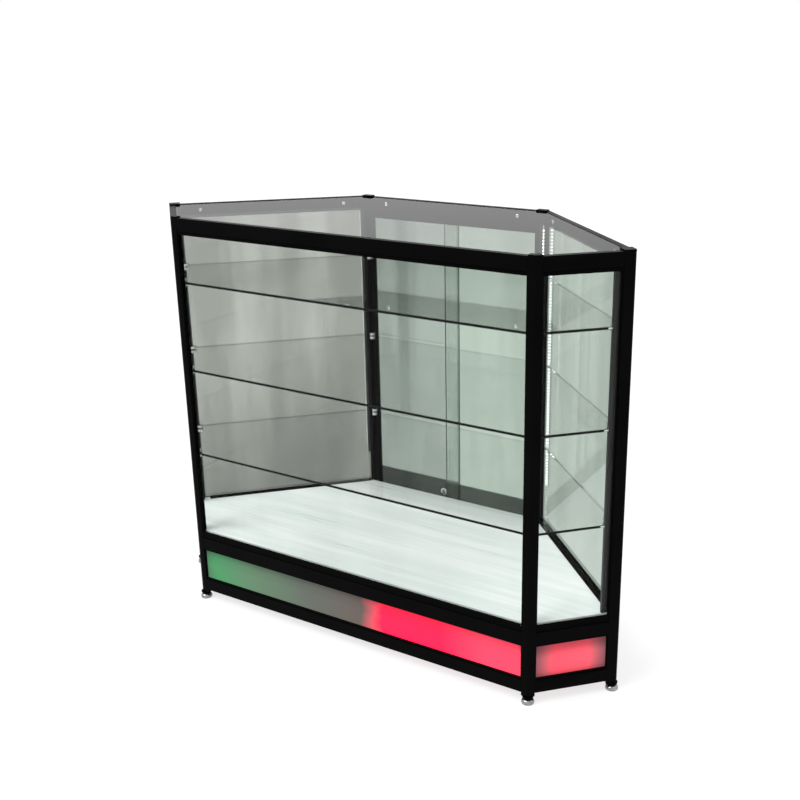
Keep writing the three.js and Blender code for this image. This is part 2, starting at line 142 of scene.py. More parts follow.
def prism(bm, low_ring, high_ring, index=0):
    """A closed form between two rings with as many points"""
    low = [bm.verts.new(p) for p in low_ring]
    high = [bm.verts.new(p) for p in high_ring]
    count = len(low)
    faces = [bm.faces.new(low[::-1]), bm.faces.new(high)]
    faces += [
        bm.faces.new((low[i], low[(i + 1) % count], high[(i + 1) % count], high[i]))
        for i in range(count)
    ]
    for face in faces:
        face.material_index = index


def turned(bm, profile, place, segments, index=0):
    """A closed turned form: the profile is (radius, height), and its ends lie on the axis."""
    rings = []
    for radius, height in profile:
        if radius == 0:
            rings.append([bm.verts.new(place @ Vector((0, 0, height)))])
            continue
        turn = [2 * math.pi * k / segments for k in range(segments)]
        rings.append(
            [
                bm.verts.new(place @ Vector((radius * math.cos(t), radius * math.sin(t), height)))
                for t in turn
            ]
        )
    for low, high in zip(rings, rings[1:]):
        for k in range(segments):
            ring = [low[k % len(low)], low[(k + 1) % len(low)]]
            ring += [high[(k + 1) % len(high)], high[k % len(high)]]
            face = bm.faces.new(list(dict.fromkeys(ring)))
            face.material_index = index


def soften(made, width, limit):
    """Round the edges that are sharper than the limit"""
    edge = made.modifiers.new("edge", "BEVEL")
    edge.width = width
    edge.segments = 2
    edge.limit_method = "ANGLE"
    edge.angle_limit = limit


def piece(name, bm, materials, body="case", smooth=False, bevel=0):
    """A named piece of the scene, with its materials, that rides on a body"""
    bmesh.ops.recalc_face_normals(bm, faces=bm.faces[:])
    mesh = bpy.data.meshes.new(name)
    bm.to_mesh(mesh)
    bm.free()
    made = bpy.data.objects.new(name, mesh)
    bpy.context.scene.collection.objects.link(made)
    for material in materials:
        mesh.materials.append(material)
    if smooth:
        for polygon in mesh.polygons:
            polygon.use_smooth = True
        mesh.set_sharp_from_angle(angle=SMOOTH_LIMIT)
    if bevel:
        soften(made, bevel, BEVEL_LIMIT)
    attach(made, body)
    return made


# Material helpers
NOISE_ROUGHNESS = 0.55
RELIEF_DEPTH = 0.2 * MM
LAMP_DIM = 0.92


def new_material(name):
    """An empty node material, and its tree"""
    made = bpy.data.materials.new(name)
    made.use_nodes = True
    made.node_tree.nodes.clear()
    return made, made.node_tree


def feed(tree, socket, value):
    """Link the value to the socket if it is an output, or set it there if it is a plain value"""
    if isinstance(value, bpy.types.NodeSocket):
        tree.links.new(value, socket)
    else:
        socket.default_value = value


def add(tree, kind, settings=None, **inputs):
    """A node with its settings, and its inputs by name"""
    made = tree.nodes.new(kind)
    for key, value in (settings or {}).items():
        setattr(made, key, value)
    for key, value in inputs.items():
        feed(tree, made.inputs[key.replace("_", " ")], value)
    return made


def math_node(tree, operation, *values, clamp=False):
    made = add(tree, "ShaderNodeMath", {"operation": operation, "use_clamp": clamp})
    for socket, value in zip(made.inputs, values):
        feed(tree, socket, value)
    return made.outputs[0]


def coordinate(tree, kind, axis):
    """One axis of a texture coordinate, such as the place on the object, or the normal"""
    where = add(tree, "ShaderNodeTexCoord")
    return add(tree, "ShaderNodeSeparateXYZ", Vector=where.outputs[kind]).outputs[axis]


def mapped(tree, value, source, target=(0.0, 1.0), smooth=False):
    """The value moved from its own range to another one, and held at the ends"""
    made = add(tree, "ShaderNodeMapRange", Value=value)
    if smooth:
        made.interpolation_type = "SMOOTHSTEP"
    ends = (*source, *target)
    for name, end in zip(("From Min", "From Max", "To Min", "To Max"), ends):
        made.inputs[name].default_value = end
    return made.outputs[0]


def scaled(tree, color, share):
    made = add(tree, "ShaderNodeVectorMath", {"operation": "SCALE"}, Scale=share)
    tree.links.new(color, made.inputs[0])
    return made.outputs[0]


def rgba(color):
    return (*color, 1)


def linear(red, green, blue):
    """A colour from 0 to 255, as an image stores it, made linear"""
    shares = [c / 255 for c in (red, green, blue)]
    return tuple(c / 12.92 if c < 0.04045 else ((c + 0.055) / 1.055) ** 2.4 for c in shares)


def stretched_noise(tree, scale, stretch=(1, 1, 1), detail=4.0):
    where = add(tree, "ShaderNodeTexCoord")
    moved = add(tree, "ShaderNodeMapping", Vector=where.outputs["Object"], Scale=stretch)
    settings = {"Scale": scale, "Detail": detail, "Roughness": NOISE_ROUGHNESS}
    noise = add(tree, "ShaderNodeTexNoise", Vector=moved.outputs[0], **settings)
    return noise.outputs["Fac"]


def ramp(tree, factor, stops):
    """A colour by the factor, from stops of a position and a colour"""
    made = tree.nodes.new("ShaderNodeValToRGB")
    tree.links.new(factor, made.inputs[0])
    band = made.color_ramp
    while len(band.elements) < len(stops):
        band.elements.new(0.5)
    for element, (position, color) in zip(band.elements, stops):
        element.position = position
        element.color = rgba(color)
    return made.outputs[0]


def relief(tree, grain, strength):
    """A normal for a fine relief"""
    made = add(tree, "ShaderNodeBump", Height=grain, Strength=strength, Distance=RELIEF_DEPTH)
    return made.outputs[0]


def output(tree, shader):
    add(tree, "ShaderNodeOutputMaterial", Surface=shader)


def solid_material(
    name,
    dark,
    light,
    roughness,
    patch=6.0,
    grain=900.0,
    stretch=(1, 1, 1),
    bump=0.15,
    metallic=0.0,
    gloss=0.5,
    shaded_middle=None,
):
    """An opaque finish: two near colours and two near roughnesses in soft patches, and a fine
    relief. A surface may carry painted shade in its middle, darker there as if less light fell on
    it: shaded_middle gives the share of its colour there."""
    made, tree = new_material(name)
    patches = stretched_noise(tree, patch, stretch)
    color = ramp(tree, patches, [(0.35, dark), (0.65, light)])
    # Painted shade: the colour is darker around the middle X, as if less light fell there.
    if shaded_middle:
        from_middle = math_node(tree, "SUBTRACT", coordinate(tree, "Object", "X"), MIDDLE_AT)
        aside = math_node(tree, "ABSOLUTE", from_middle)
        painted_shade = mapped(tree, aside, (MIDDLE_HALF, MIDDLE_REACH), (shaded_middle, 1.0), smooth=True)
        color = scaled(tree, color, painted_shade)
    shader = add(
        tree,
        "ShaderNodeBsdfPrincipled",
        Base_Color=color,
        Roughness=mapped(tree, patches, (0.3, 0.7), roughness),
        Normal=relief(tree, stretched_noise(tree, grain, stretch, detail=2.0), bump),
        Metallic=metallic,
        Specular_IOR_Level=gloss,
    )
    output(tree, shader.outputs[0])
    return made


def edge_share(tree, axis):
    """1 on the cut edges of a sheet whose faces look along this axis of the object, or else 0"""
    along = math_node(tree, "ABSOLUTE", coordinate(tree, "Normal", axis))
    return math_node(tree, "LESS_THAN", along, 0.5)


def mixed(tree, share, first, second):
    """The second shader where the share is 1, and the first where it is 0"""
    made = add(tree, "ShaderNodeMixShader", Fac=share)
    tree.links.new(first, made.inputs[1])
    tree.links.new(second, made.inputs[2])
    return made.outputs[0]


def cut_edge(tree, color):
    shader = add(
        tree,
        "ShaderNodeBsdfPrincipled",
        Base_Color=rgba(color),
        Roughness=0.25,
        Specular_IOR_Level=0.15,
    )
    return shader.outputs[0]


# Glass
GLASS_IOR = 1.5
GLASS_EDGE = (0.0015, 0.004, 0.003)
EDGE_SHARE = 0.1
SLANTED_EDGE_SHARE = 0.35
SLANT = 0.3
LAP_TINT = (0.93, 0.96, 0.94)
# Height where the painted shade at the foot of a pane ends
FOOT_SHADE_TOP = 620 * MM
FLAT_MIRROR = (0.12, 0.5)


def pane_material(
    name,
    tint,
    gloss,
    streaks=0.01,
    bend=None,
    edges=None,
    clear_below=None,
    mirrors=1.8,
    flat_gloss=None,
    foot_shade=None,
):
    """A sheet of glass: what is behind it shows in its tint, and it mirrors more at a flat angle.
    Thick sheets bend the light a little. Cut edges are dark where the sheet shows them.
    The pane may have painted shade at its foot, its tint darker there: foot_shade gives its share
    there and higher up.
    It may be lighter below an X, where another pane stands behind this one. A pane that mirrors
    little may mirror more at a flat angle still: flat_gloss gives its gloss there."""
    made, tree = new_material(name)
    haze = stretched_noise(tree, 7.0, stretch=(1, 1, 0.15), detail=3.0)
    low = tuple(c * (1 - streaks) for c in tint)
    high = tuple(min(c * (1 + streaks), 1) for c in tint)
    color = ramp(tree, haze, [(0.4, low), (0.6, high)])
    # Painted shade: the tint is darker towards the foot of the pane.
    if foot_shade:
        height = coordinate(tree, "Object", "Z")
        color = scaled(tree, color, mapped(tree, height, (BOARD_TOP, FOOT_SHADE_TOP), foot_shade))
    if clear_below is not None:
        lapped = math_node(tree, "LESS_THAN", coordinate(tree, "Object", "X"), clear_below)
        lighter = add(tree, "ShaderNodeMix", {"data_type": "RGBA"}, Factor=lapped)
        tree.links.new(color, lighter.inputs[6])
        lighter.inputs[7].default_value = rgba(LAP_TINT)
        color = lighter.outputs[2]
    if bend:
        through = add(tree, "ShaderNodeBsdfRefraction", Color=color, Roughness=0.0, IOR=bend)
    else:
        through = add(tree, "ShaderNodeBsdfTransparent", Color=color)
    mirror = add(tree, "ShaderNodeBsdfGlossy", Color=rgba((gloss, gloss, gloss)), Roughness=0.0)
    fresnel = add(tree, "ShaderNodeFresnel", IOR=GLASS_IOR)
    geometry = add(tree, "ShaderNodeNewGeometry")
    outside = math_node(tree, "SUBTRACT", 1.0, geometry.outputs["Backfacing"])
    both_faces = math_node(tree, "MULTIPLY", fresnel.outputs[0], mirrors, clamp=True)
    share = math_node(tree, "MULTIPLY", both_faces, outside)
    if flat_gloss:
        brighter = mapped(tree, both_faces, FLAT_MIRROR, (gloss, flat_gloss))
        tree.links.new(brighter, mirror.inputs["Color"])
    shader = mixed(tree, share, through.outputs[0], mirror.outputs[0])
    if edges == "door":
        shader = mixed(tree, edge_share(tree, "Y"), shader, cut_edge(tree, GLASS_EDGE))
    if edges == "shelf":
        # Front edges are dark all through, and the others in part, slanted ones more
        turned_out = math_node(tree, "MULTIPLY_ADD", geometry.outputs["Backfacing"], -2.0, 1.0)
        facing = math_node(tree, "MULTIPLY", coordinate(tree, "Normal", "Y"), turned_out)
        front = math_node(tree, "LESS_THAN", facing, -SLANT)
        sideways = math_node(tree, "ABSOLUTE", coordinate(tree, "Normal", "X"))
        slanted = math_node(tree, "GREATER_THAN", sideways, SLANT)
        more = SLANTED_EDGE_SHARE - EDGE_SHARE
        strength = math_node(tree, "MULTIPLY_ADD", slanted, more, EDGE_SHARE)
        rear = math_node(tree, "MULTIPLY", edge_share(tree, "Z"), strength)
        shader = mixed(tree, rear, shader, cut_edge(tree, GLASS_EDGE))
        shader = mixed(tree, front, shader, cut_edge(tree, GLASS_EDGE))
    output(tree, shader)
    return made


# Lit acrylic. Its tones are stored this much darker, so that a red over full strength fits a ramp.
GLOW_HEADROOM = 2.0
GLOW_DRIFT = 0.05


def glow_tone(red, green, blue, over=1.0):
    """A colour of lit acrylic, with its red this much over full where the lamps are too bright"""
    tone = linear(red, green, blue)
    return tuple(c * more / GLOW_HEADROOM for c, more in zip(tone, (over, 1, 1)))


def lit_material(name, ends, stops, rise):
    """Frosted acrylic with coloured lamps behind it. Its colour changes along X between the ends,
    and its brightness with the height between the rails."""
    made, tree = new_material(name)
    cloud = stretched_noise(tree, 9.0, stretch=(1, 1, 2.5), detail=2.0)
    drift = math_node(tree, "MULTIPLY", math_node(tree, "SUBTRACT", cloud, 0.5), GLOW_DRIFT)
    along = mapped(tree, coordinate(tree, "Object", "X"), ends)
    glow = ramp(tree, math_node(tree, "ADD", along, drift), stops)
    upward = mapped(tree, coordinate(tree, "Object", "Z"), (BOTTOM_RAIL_TOP, MID_RAIL_BOTTOM))
    height = math_node(tree, "ADD", upward, drift)
    shade = ramp(tree, height, [(at, (share, share, share)) for at, share in rise])
    dimmed = add(tree, "ShaderNodeVectorMath", {"operation": "MULTIPLY"})
    tree.links.new(glow, dimmed.inputs[0])
    tree.links.new(shade, dimmed.inputs[1])
    shader = add(
        tree,
        "ShaderNodeBsdfPrincipled",
        Base_Color=rgba((0.01, 0.01, 0.01)),
        Roughness=0.45,
        Specular_IOR_Level=0.1,
        Emission_Color=dimmed.outputs[0],
        Emission_Strength=GLOW_HEADROOM,
        Normal=relief(tree, stretched_noise(tree, 1400.0, detail=1.0), 0.1),
    )
    output(tree, shader.outputs[0])
    return made


def lamp_material(name, color, strength):
    """A white surface that shines by itself, a little unevenly"""
    made, tree = new_material(name)
    spots = stretched_noise(tree, 300.0)
    dimmer = tuple(c * LAMP_DIM for c in color)
    shader = add(
        tree,
        "ShaderNodeBsdfPrincipled",
        Base_Color=rgba(color),
        Roughness=0.4,
        Emission_Color=ramp(tree, spots, [(0.3, dimmer), (0.7, color)]),
        Emission_Strength=strength,
    )
    output(tree, shader.outputs[0])
    return made


# Materials. The board has painted shade around this X: darker in full up to the half, and less up
# to the reach.
MIDDLE_AT = 80 * MM
MIDDLE_HALF = 120 * MM
MIDDLE_REACH = 500 * MM
coat = solid_material(
    "black_powder_coat",
    (0.0008, 0.0008, 0.0009),
    (0.0016, 0.0016, 0.0018),
    (0.28, 0.36),
    patch=7.0,
    grain=1500.0,
    gloss=0.025,
)
bead_plastic = solid_material(
    "black_bead_plastic",
    (0.0007, 0.0007, 0.0007),
    (0.0014, 0.0014, 0.0015),
    (0.4, 0.5),
    patch=9.0,
    grain=1100.0,
    gloss=0.02,
)
plain_panel = solid_material(
    "black_plinth_panel",
    (0.006, 0.006, 0.006),
    (0.009, 0.009, 0.009),
    (0.5, 0.6),
    patch=5.0,
    grain=1300.0,
    gloss=0.15,
)
melamine = solid_material(
    "white_melamine",
    linear(230, 241, 236),
    linear(249, 255, 252),
    (0.26, 0.4),
    patch=2.2,
    grain=260.0,
    stretch=(1, 18, 1),
    bump=0.05,
    # Painted shade: the board is darker in its middle, as if less light fell there.
    shaded_middle=0.86,
)
chromed = solid_material(
    "polished_chrome",
    (0.66, 0.67, 0.68),
    (0.76, 0.77, 0.78),
    (0.06, 0.14),
    patch=90.0,
    grain=2500.0,
    bump=0.03,
    metallic=1.0,
)
# Painted reflection: the chrome of the feet is darker than the polished chrome, standing in for
# the dark surroundings that the domes mirror.
darkened_feet_chrome = solid_material(
    "feet_chrome_painted_dark_reflection",
    (0.24, 0.245, 0.25),
    (0.36, 0.365, 0.37),
    (0.06, 0.16),
    patch=120.0,
    grain=2500.0,
    bump=0.03,
    metallic=1.0,
)
dull_steel = solid_material(
    "dull_steel",
    (0.07, 0.07, 0.072),
    (0.11, 0.11, 0.112),
    (0.3, 0.4),
    patch=120.0,
    grain=2000.0,
    metallic=1.0,
)
channel = solid_material(
    "satin_channel",
    (0.030, 0.030, 0.031),
    (0.045, 0.045, 0.046),
    (0.35, 0.45),
    patch=30.0,
    grain=900.0,
    stretch=(6, 6, 0.2),
    bump=0.08,
    metallic=0.6,
    gloss=0.2,
)
white_nylon = solid_material(
    "white_nylon", (0.72, 0.70, 0.64), (0.80, 0.78, 0.72), (0.42, 0.52), patch=60.0, grain=900.0
)
# Painted light: the circuit board of the strips is no lamp, yet it shines faintly by itself.
circuit = lamp_material("glowing_light_strip_board", (0.80, 0.84, 0.82), strength=0.12)
lamp = lamp_material("light_strip_lamp", (0.93, 1.0, 0.96), strength=4.5)
clear_pane = pane_material("clear_pane", (0.98, 0.99, 0.985), gloss=0.08, flat_gloss=0.9)
# Painted shade: the left end pane is tinted darker and streakier than the right end pane of the
# same glass, and darker still at its foot.
left_end_pane = pane_material(
    "left_end_pane", (0.605, 0.62, 0.59), gloss=0.9, streaks=0.1, foot_shade=(0.7, 1.05)
)
right_end_pane = pane_material("right_end_pane", (0.70, 0.75, 0.71), gloss=0.9, streaks=0.04)
# Painted shade: the outer door is tinted darker and streakier than the inner door of the same
# glass.
outer_door = pane_material(
    "outer_door_glass", (0.57, 0.62, 0.585), gloss=0.9, streaks=0.09, edges="door"
)
inner_door = pane_material(
    "inner_door_glass",
    (0.67, 0.735, 0.68),
    gloss=0.9,
    streaks=0.04,
    edges="door",
    clear_below=18 * MM,
)
top_sheet = pane_material("top_glass", (0.98, 0.985, 0.98), gloss=0.5, bend=1.04, mirrors=1.2)
shelf_sheet = pane_material(
    "shelf_glass", (0.99, 0.995, 0.99), gloss=0.7, bend=1.04, edges="shelf"
)

GREEN = glow_tone(78, 160, 104)
PALE_GREEN = glow_tone(104, 140, 110)
GREY = glow_tone(105, 112, 102)
PINK = glow_tone(255, 26, 88, 1.9)
PINK_END = glow_tone(255, 78, 112, 1.6)
FRONT_RISE = [(0.0, 1.0), (0.5, 0.97), (0.75, 0.85), (0.87, 0.6), (0.97, 0.38)]
RIGHT_RISE = [(0.04, 0.5), (0.17, 0.85), (0.35, 1.0), (0.58, 1.0), (0.78, 0.55), (0.95, 0.36)]
front_glow = lit_material(
    "front_plinth_glow",
    (-470 * MM, 470 * MM),
    [
        (0.0, glow_tone(84, 120, 92)),
        (0.035, GREEN),
        (0.17, PALE_GREEN),
        (0.36, GREY),
        (0.535, glow_tone(110, 98, 92)),
        (0.565, glow_tone(224, 98, 108)),
        (0.6, PINK),
        (0.77, PINK),
        (0.9, PINK_END),
        (0.985, PINK_END),
        (1.0, glow_tone(120, 60, 70)),
    ],
    FRONT_RISE,
)
right_glow = lit_material(
    "right_plinth_glow",
    (497 * MM, 620 * MM),
    [
        (0.0, glow_tone(150, 84, 92)),
        (0.09, glow_tone(200, 96, 104)),
        (0.15, glow_tone(235, 98, 110)),
        (0.24, glow_tone(255, 92, 112, 1.25)),
        (0.7, glow_tone(255, 98, 118, 1.25)),
        (0.79, glow_tone(226, 100, 110)),
        (0.85, glow_tone(194, 94, 104)),
        (0.91, glow_tone(158, 88, 95)),
        (1.0, glow_tone(110, 70, 72)),
    ],
    RIGHT_RISE,
)
left_glow = lit_material(
    "left_plinth_glow",
    (-620 * MM, -497 * MM),
    [
        (0.0, glow_tone(96, 120, 100)),
        (0.3, PALE_GREEN),
        (0.8, GREEN),
        (1.0, glow_tone(80, 130, 96)),
    ],
    FRONT_RISE,
)

# Materials of the CAD nodes, by the start of the name. The first that fits counts.
NODE_MATERIALS = [
    ("post_", coat),
    ("top_rail_", coat),
    ("mid_rail_", coat),
    ("bottom_rail_", coat),
    ("door_rail_", coat),
    ("foot_", darkened_feet_chrome),
    ("plinth_panel_front", front_glow),
    ("plinth_panel_return_right", right_glow),
    ("plinth_panel_return_left", left_glow),
    ("plinth_panel_", plain_panel),
    ("glass_front", clear_pane),
    ("glass_return_", clear_pane),
    ("glass_end_left", left_end_pane),
    ("glass_end_right", right_end_pane),
    ("glass_top", top_sheet),
    ("glass_shelf_", shelf_sheet),
    ("base_board", melamine),
    ("light_bar_", channel),
    ("door_glass_left", outer_door),
    ("door_glass_right", inner_door),
    ("roller_", white_nylon),
    ("lock_plug", dull_steel),
    ("lock_", chromed),
]
WELD_WITHIN = 0.01 * MM
NODE_EDGE = 0.5 * MM
NODE_BEVEL_LIMIT = math.radians(40)
SOFT_EDGED = ("post_", "top_rail_", "mid_rail_", "bottom_rail_", "door_rail_", "base_board")
for name, node in nodes.items():
    finish = next(material for start, material in NODE_MATERIALS if name.startswith(start))
    node.data.materials.clear()
    node.data.materials.append(finish)
    if name.startswith(SOFT_EDGED):
        node.modifiers.new("weld", "WELD").merge_threshold = WELD_WITHIN
        soften(node, NODE_EDGE, NODE_BEVEL_LIMIT)
    if name.startswith(("glass_", "door_glass_")):
        # Light passes the glass as if it weren't there
        node.visible_shadow = False
        node.visible_diffuse = False

# Glazing beads: black strips outside each pane, in the recess between the posts and rails
BEAD_INSET = 1.2 * MM
BEAD_BACK = 5.7 * MM
BEAD_EASE = 0.8 * MM
POST_BEAD = 2.4 * MM
FOOT_BEAD = 16.7 * MM
HEAD_BEAD = 8.5 * MM
PLINTH_BEAD = 4.2 * MM
LIT_SIDES = ("front", "return_right", "return_left")


def bead_bar(bm, side, low, high):
    """A bead along a side, with its outer edge eased"""
    outline = [
        (BEAD_BACK, low),
        (BEAD_INSET + BEAD_EASE, low),
        (BEAD_INSET, low + BEAD_EASE),
        (BEAD_INSET, high - BEAD_EASE),
        (BEAD_INSET + BEAD_EASE, high),
        (BEAD_BACK, high),
    ]
    rings = []
    for end in (0, 1):
        rings.append([on_side(side, span(side, inset)[end], inset, z) for inset, z in outline])
    prism(bm, *rings)


def bead_upright(bm, side, end, low, high):
    """A bead against the post at one end of a side"""
    way = 1 if end == 0 else -1
    outline = [(0, BEAD_BACK), (0, BEAD_INSET), (POST_BEAD - BEAD_EASE, BEAD_INSET)]
    outline += [(POST_BEAD, BEAD_INSET + BEAD_EASE), (POST_BEAD, BEAD_BACK)]
    rings = []
    for z in (low, high):
        rings.append(
            [
                on_side(side, span(side, inset)[end] + way * across, inset, z)
                for across, inset in outline
            ]
        )
    prism(bm, *rings)


def bead_frame(name, side, foot, head, low, high):
    """Four beads: one of this height at the foot, one at the head, and two uprights between"""
    bm = bmesh.new()
    bead_bar(bm, side, low, low + foot)
    bead_bar(bm, side, high - head, high)
    for end in (0, 1):
        bead_upright(bm, side, end, low + foot + FIT, high - head - FIT)
    piece(name, bm, [bead_plastic])


PANE_BEADS = (FOOT_BEAD, HEAD_BEAD, MID_RAIL_TOP + FIT, TOP_RAIL_BOTTOM - FIT)
PLINTH_BEADS = (PLINTH_BEAD, PLINTH_BEAD, BOTTOM_RAIL_TOP + FIT, MID_RAIL_BOTTOM - FIT)
for side in SIDES:
    if side != "back":
        bead_frame(f"beads_{side}", side, *PANE_BEADS)
    if side in LIT_SIDES:
        bead_frame(f"plinth_beads_{side}", side, *PLINTH_BEADS)

# Black trim on the board along the two ends
TRIM_START = 41.6 * MM
TRIM_STOP = 12 * MM
TRIM_OUTLINE = [
    (11.3 * MM, BOARD_TOP + FIT),
    (11.3 * MM, BOARD_TOP + 3.2 * MM),
    (24.5 * MM, BOARD_TOP + 3.2 * MM),
    (26 * MM, BOARD_TOP + 1.6 * MM),
    (26 * MM, BOARD_TOP + FIT),
]
for side in ("end_right", "end_left"):
    length = side_frame(side)[3]
    ends = (TRIM_START, length - TRIM_STOP)
    if side == "end_left":
        ends = (TRIM_STOP, length - TRIM_START)
    bm = bmesh.new()
    prism(bm, *[[on_side(side, end, inset, z) for inset, z in TRIM_OUTLINE] for end in ends])
    piece(f"board_trim_{side}", bm, [bead_plastic], bevel=0.3 * MM)

# Light strips in the upright bars: a white circuit board with a row of lamps
LAMPS_PER_METRE = 120
LAMP_PITCH = 1000 * MM / LAMPS_PER_METRE
LAMP_WIDTH = 6.4 * MM
LAMP_HEIGHT = 3.2 * MM
LAMP_DEPTH = 1.2 * MM
LAMP_TAPER = 0.85
STRIP_WIDTH = 8.2 * MM
STRIP_THICKNESS = 4.3 * MM


def light_strip(name, centre, facing, low, high):
    """A strip whose board lies at the centre and faces this way"""
    across = Vector((-facing.y, facing.x))
    bm = bmesh.new()

    def ring(width, z0, z1, out):
        flat = centre + facing * out
        sides = [(-width / 2, z0), (width / 2, z0), (width / 2, z1), (-width / 2, z1)]
        return [Vector((flat.x + across.x * s, flat.y + across.y * s, z)) for s, z in sides]

    prism(bm, ring(STRIP_WIDTH, low, high, 0), ring(STRIP_WIDTH, low, high, STRIP_THICKNESS))
    count = int((high - low) / LAMP_PITCH) - 1
    for k in range(count):
        z = low + LAMP_PITCH * (k + 1)
        rings = []
        for out, taper in ((0, 1), (LAMP_DEPTH, LAMP_TAPER)):
            half = LAMP_HEIGHT / 2 * taper
            rings.append(ring(LAMP_WIDTH * taper, z - half, z + half, STRIP_THICKNESS + out))
        prism(bm, *rings, index=1)
    piece(name, bm, [circuit, lamp])


# Where the bars stand, as in the CAD: their middle along the side, and the floor of their channel.
# The back strips start higher, and stand a little nearer the front than the middle of their bars.
END_BAR = 34.3 * MM
END_BAR_FLOOR = 14.4 * MM
BACK_BAR = 25.3 * MM
BACK_BAR_FLOOR = 8.9 * MM
BACK_SHIFT = 1.6 * MM
STRIP_GAP = 4 * MM
STRIP_TOP = TOP_RAIL_BOTTOM - STRIP_GAP
BACK_STRIP_FOOT = 296 * MM
for side, end in (("return_right", "end_right"), ("return_left", "end_left")):
    _, _, inward, length = side_frame(side)
    distance = END_BAR if side == "return_left" else length - END_BAR
    centre = on_side(side, distance, END_BAR_FLOOR, 0).xy
    light_strip(f"light_strip_{end}", centre, inward, BOARD_TOP + STRIP_GAP, STRIP_TOP)
for way, end in ((1, "back_right"), (-1, "back_left")):
    centre = Vector((way * (BACK_WIDTH / 2 - BACK_BAR_FLOOR), HALF_DEPTH - BACK_BAR - BACK_SHIFT))
    light_strip(f"light_strip_{end}", centre, Vector((way, 0)), BACK_STRIP_FOOT, STRIP_TOP)

# Chrome shelf clips over the nubs of the posts, above and below each shelf
CLIP_RADIUS = 8.3 * MM
CLIP_HALF = 10.3 * MM
CLIP_NEAR = SHELF_THICKNESS / 2 + 0.35 * MM
CLIP_ROUND = [(1.0, -1.2), (0.97, -0.6), (0.86, -0.2), (0.7, 0.0)]
CLIP_SEGMENTS = 28
CLIP_AT = {"front": 19 * MM, "end": 30 * MM}
BACK_CLIP_AT = (22 * MM, 21 * MM)
clip = [(0, CLIP_NEAR), (CLIP_RADIUS * 0.96, CLIP_NEAR), (CLIP_RADIUS, CLIP_NEAR + 0.4 * MM)]
clip += [(CLIP_RADIUS * share, CLIP_HALF + drop * MM) for share, drop in CLIP_ROUND]
clip += [(0, CLIP_HALF)]
for corner, kind, at in CORNERS:
    if kind == "back":
        way = 1 if at[0] < 0 else -1
        middle = Vector((at[0] + way * BACK_CLIP_AT[0], HALF_DEPTH - BACK_CLIP_AT[1]))
    else:
        middle = corner_point(corner, CLIP_AT[kind], CLIP_AT[kind])
    bm = bmesh.new()
    for shelf in SHELF_LEVELS:
        centre = Matrix.Translation((middle.x, middle.y, shelf - SHELF_THICKNESS / 2))
        for way in (1, -1):
            turned(bm, clip, centre @ Matrix.Scale(way, 4, (0, 0, 1)), CLIP_SEGMENTS)
    piece(f"shelf_clips_{corner}", bm, [chromed], smooth=True)

# Chrome caps on the shelf edges of the returns, beside the end posts: a painted highlight,
# standing in for the light that the lamps of the end bars put on the shelf corners.
CAP_OUTER = 12.2 * MM
CAP_INNER = 13.2 * MM
CAP_GAP = 4 * MM
CAP_LENGTH = 20 * MM
CAP_HEIGHT = 5.2 * MM
CAP_TAPER = 0.8
CAP_CROWN = 0.7
bm = bmesh.new()
for side, end, way in (("return_right", 1, -1), ("return_left", 0, 1)):
    for shelf in SHELF_LEVELS:
        middle_z = shelf - SHELF_THICKNESS / 2
        start = span(side, CAP_INNER)[end] + way * CAP_GAP
        rings = []
        for distance, taper in ((start, 1.0), (start + way * CAP_LENGTH, CAP_TAPER)):
            half = CAP_HEIGHT / 2 * taper
            outline = [
                (CAP_INNER, middle_z - half),
                (CAP_INNER, middle_z + half),
                (CAP_OUTER, middle_z + half * CAP_CROWN),
                (CAP_OUTER, middle_z - half * CAP_CROWN),
            ]
            rings.append([on_side(side, distance, inset, z) for inset, z in outline])
        prism(bm, *rings)
piece("shelf_corner_highlight_caps", bm, [chromed])

# Levelling feet: a chrome dome, a black nut and washer, and a threaded stem, each foot on its own
# body. Their profiles are in millimetres.
PAD = [
    (0, 0.4),
    (10.5, 0.4),
    (11.5, 0.0),
    (13.6, 0.15),
    (14.6, 0.9),
    (15.0, 2.4),
    (15.0, 4.6),
    (14.5, 6.8),
    (13.6, 8.7),
    (12.3, 10.2),
    (10.8, 11.2),
    (9.2, 11.8),
    (0, 11.8),
]
NUT = [(0, 12.0), (10.6, 12.0), (11.6, 12.6), (11.9, 13.6), (11.9, 15.6), (11.3, 16.4), (0, 16.4)]
WASHER = [(0, 16.7), (12.8, 16.7), (13.3, 17.1), (13.3, 18.7), (12.8, 19.1), (0, 19.1)]
THREAD_TURNS = 17
THREAD_PITCH = 1.5
thread = [(0, 19.3), (3.5, 19.3)]
for turn in range(THREAD_TURNS):
    thread += [(3.9, 19.6 + turn * THREAD_PITCH), (3.4, 20.3 + turn * THREAD_PITCH)]
thread += [(0, 45.2)]
for corner, _, _ in CORNERS:
    node = f"foot_{corner}"
    low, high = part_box(node)
    middle = (low + high) / 2
    place = Matrix.Translation((middle.x, middle.y, 0))
    bm = bmesh.new()
    turned(bm, in_mm(PAD), place, segments=40)
    turned(bm, in_mm(NUT), place, segments=6, index=1)
    turned(bm, in_mm(WASHER), place, segments=32, index=1)
    turned(bm, in_mm(thread), place, segments=16)
    finishes = [darkened_feet_chrome, bead_plastic]
    foot = piece(f"levelling_foot_{corner}", bm, finishes, node, smooth=True)
    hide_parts(node)

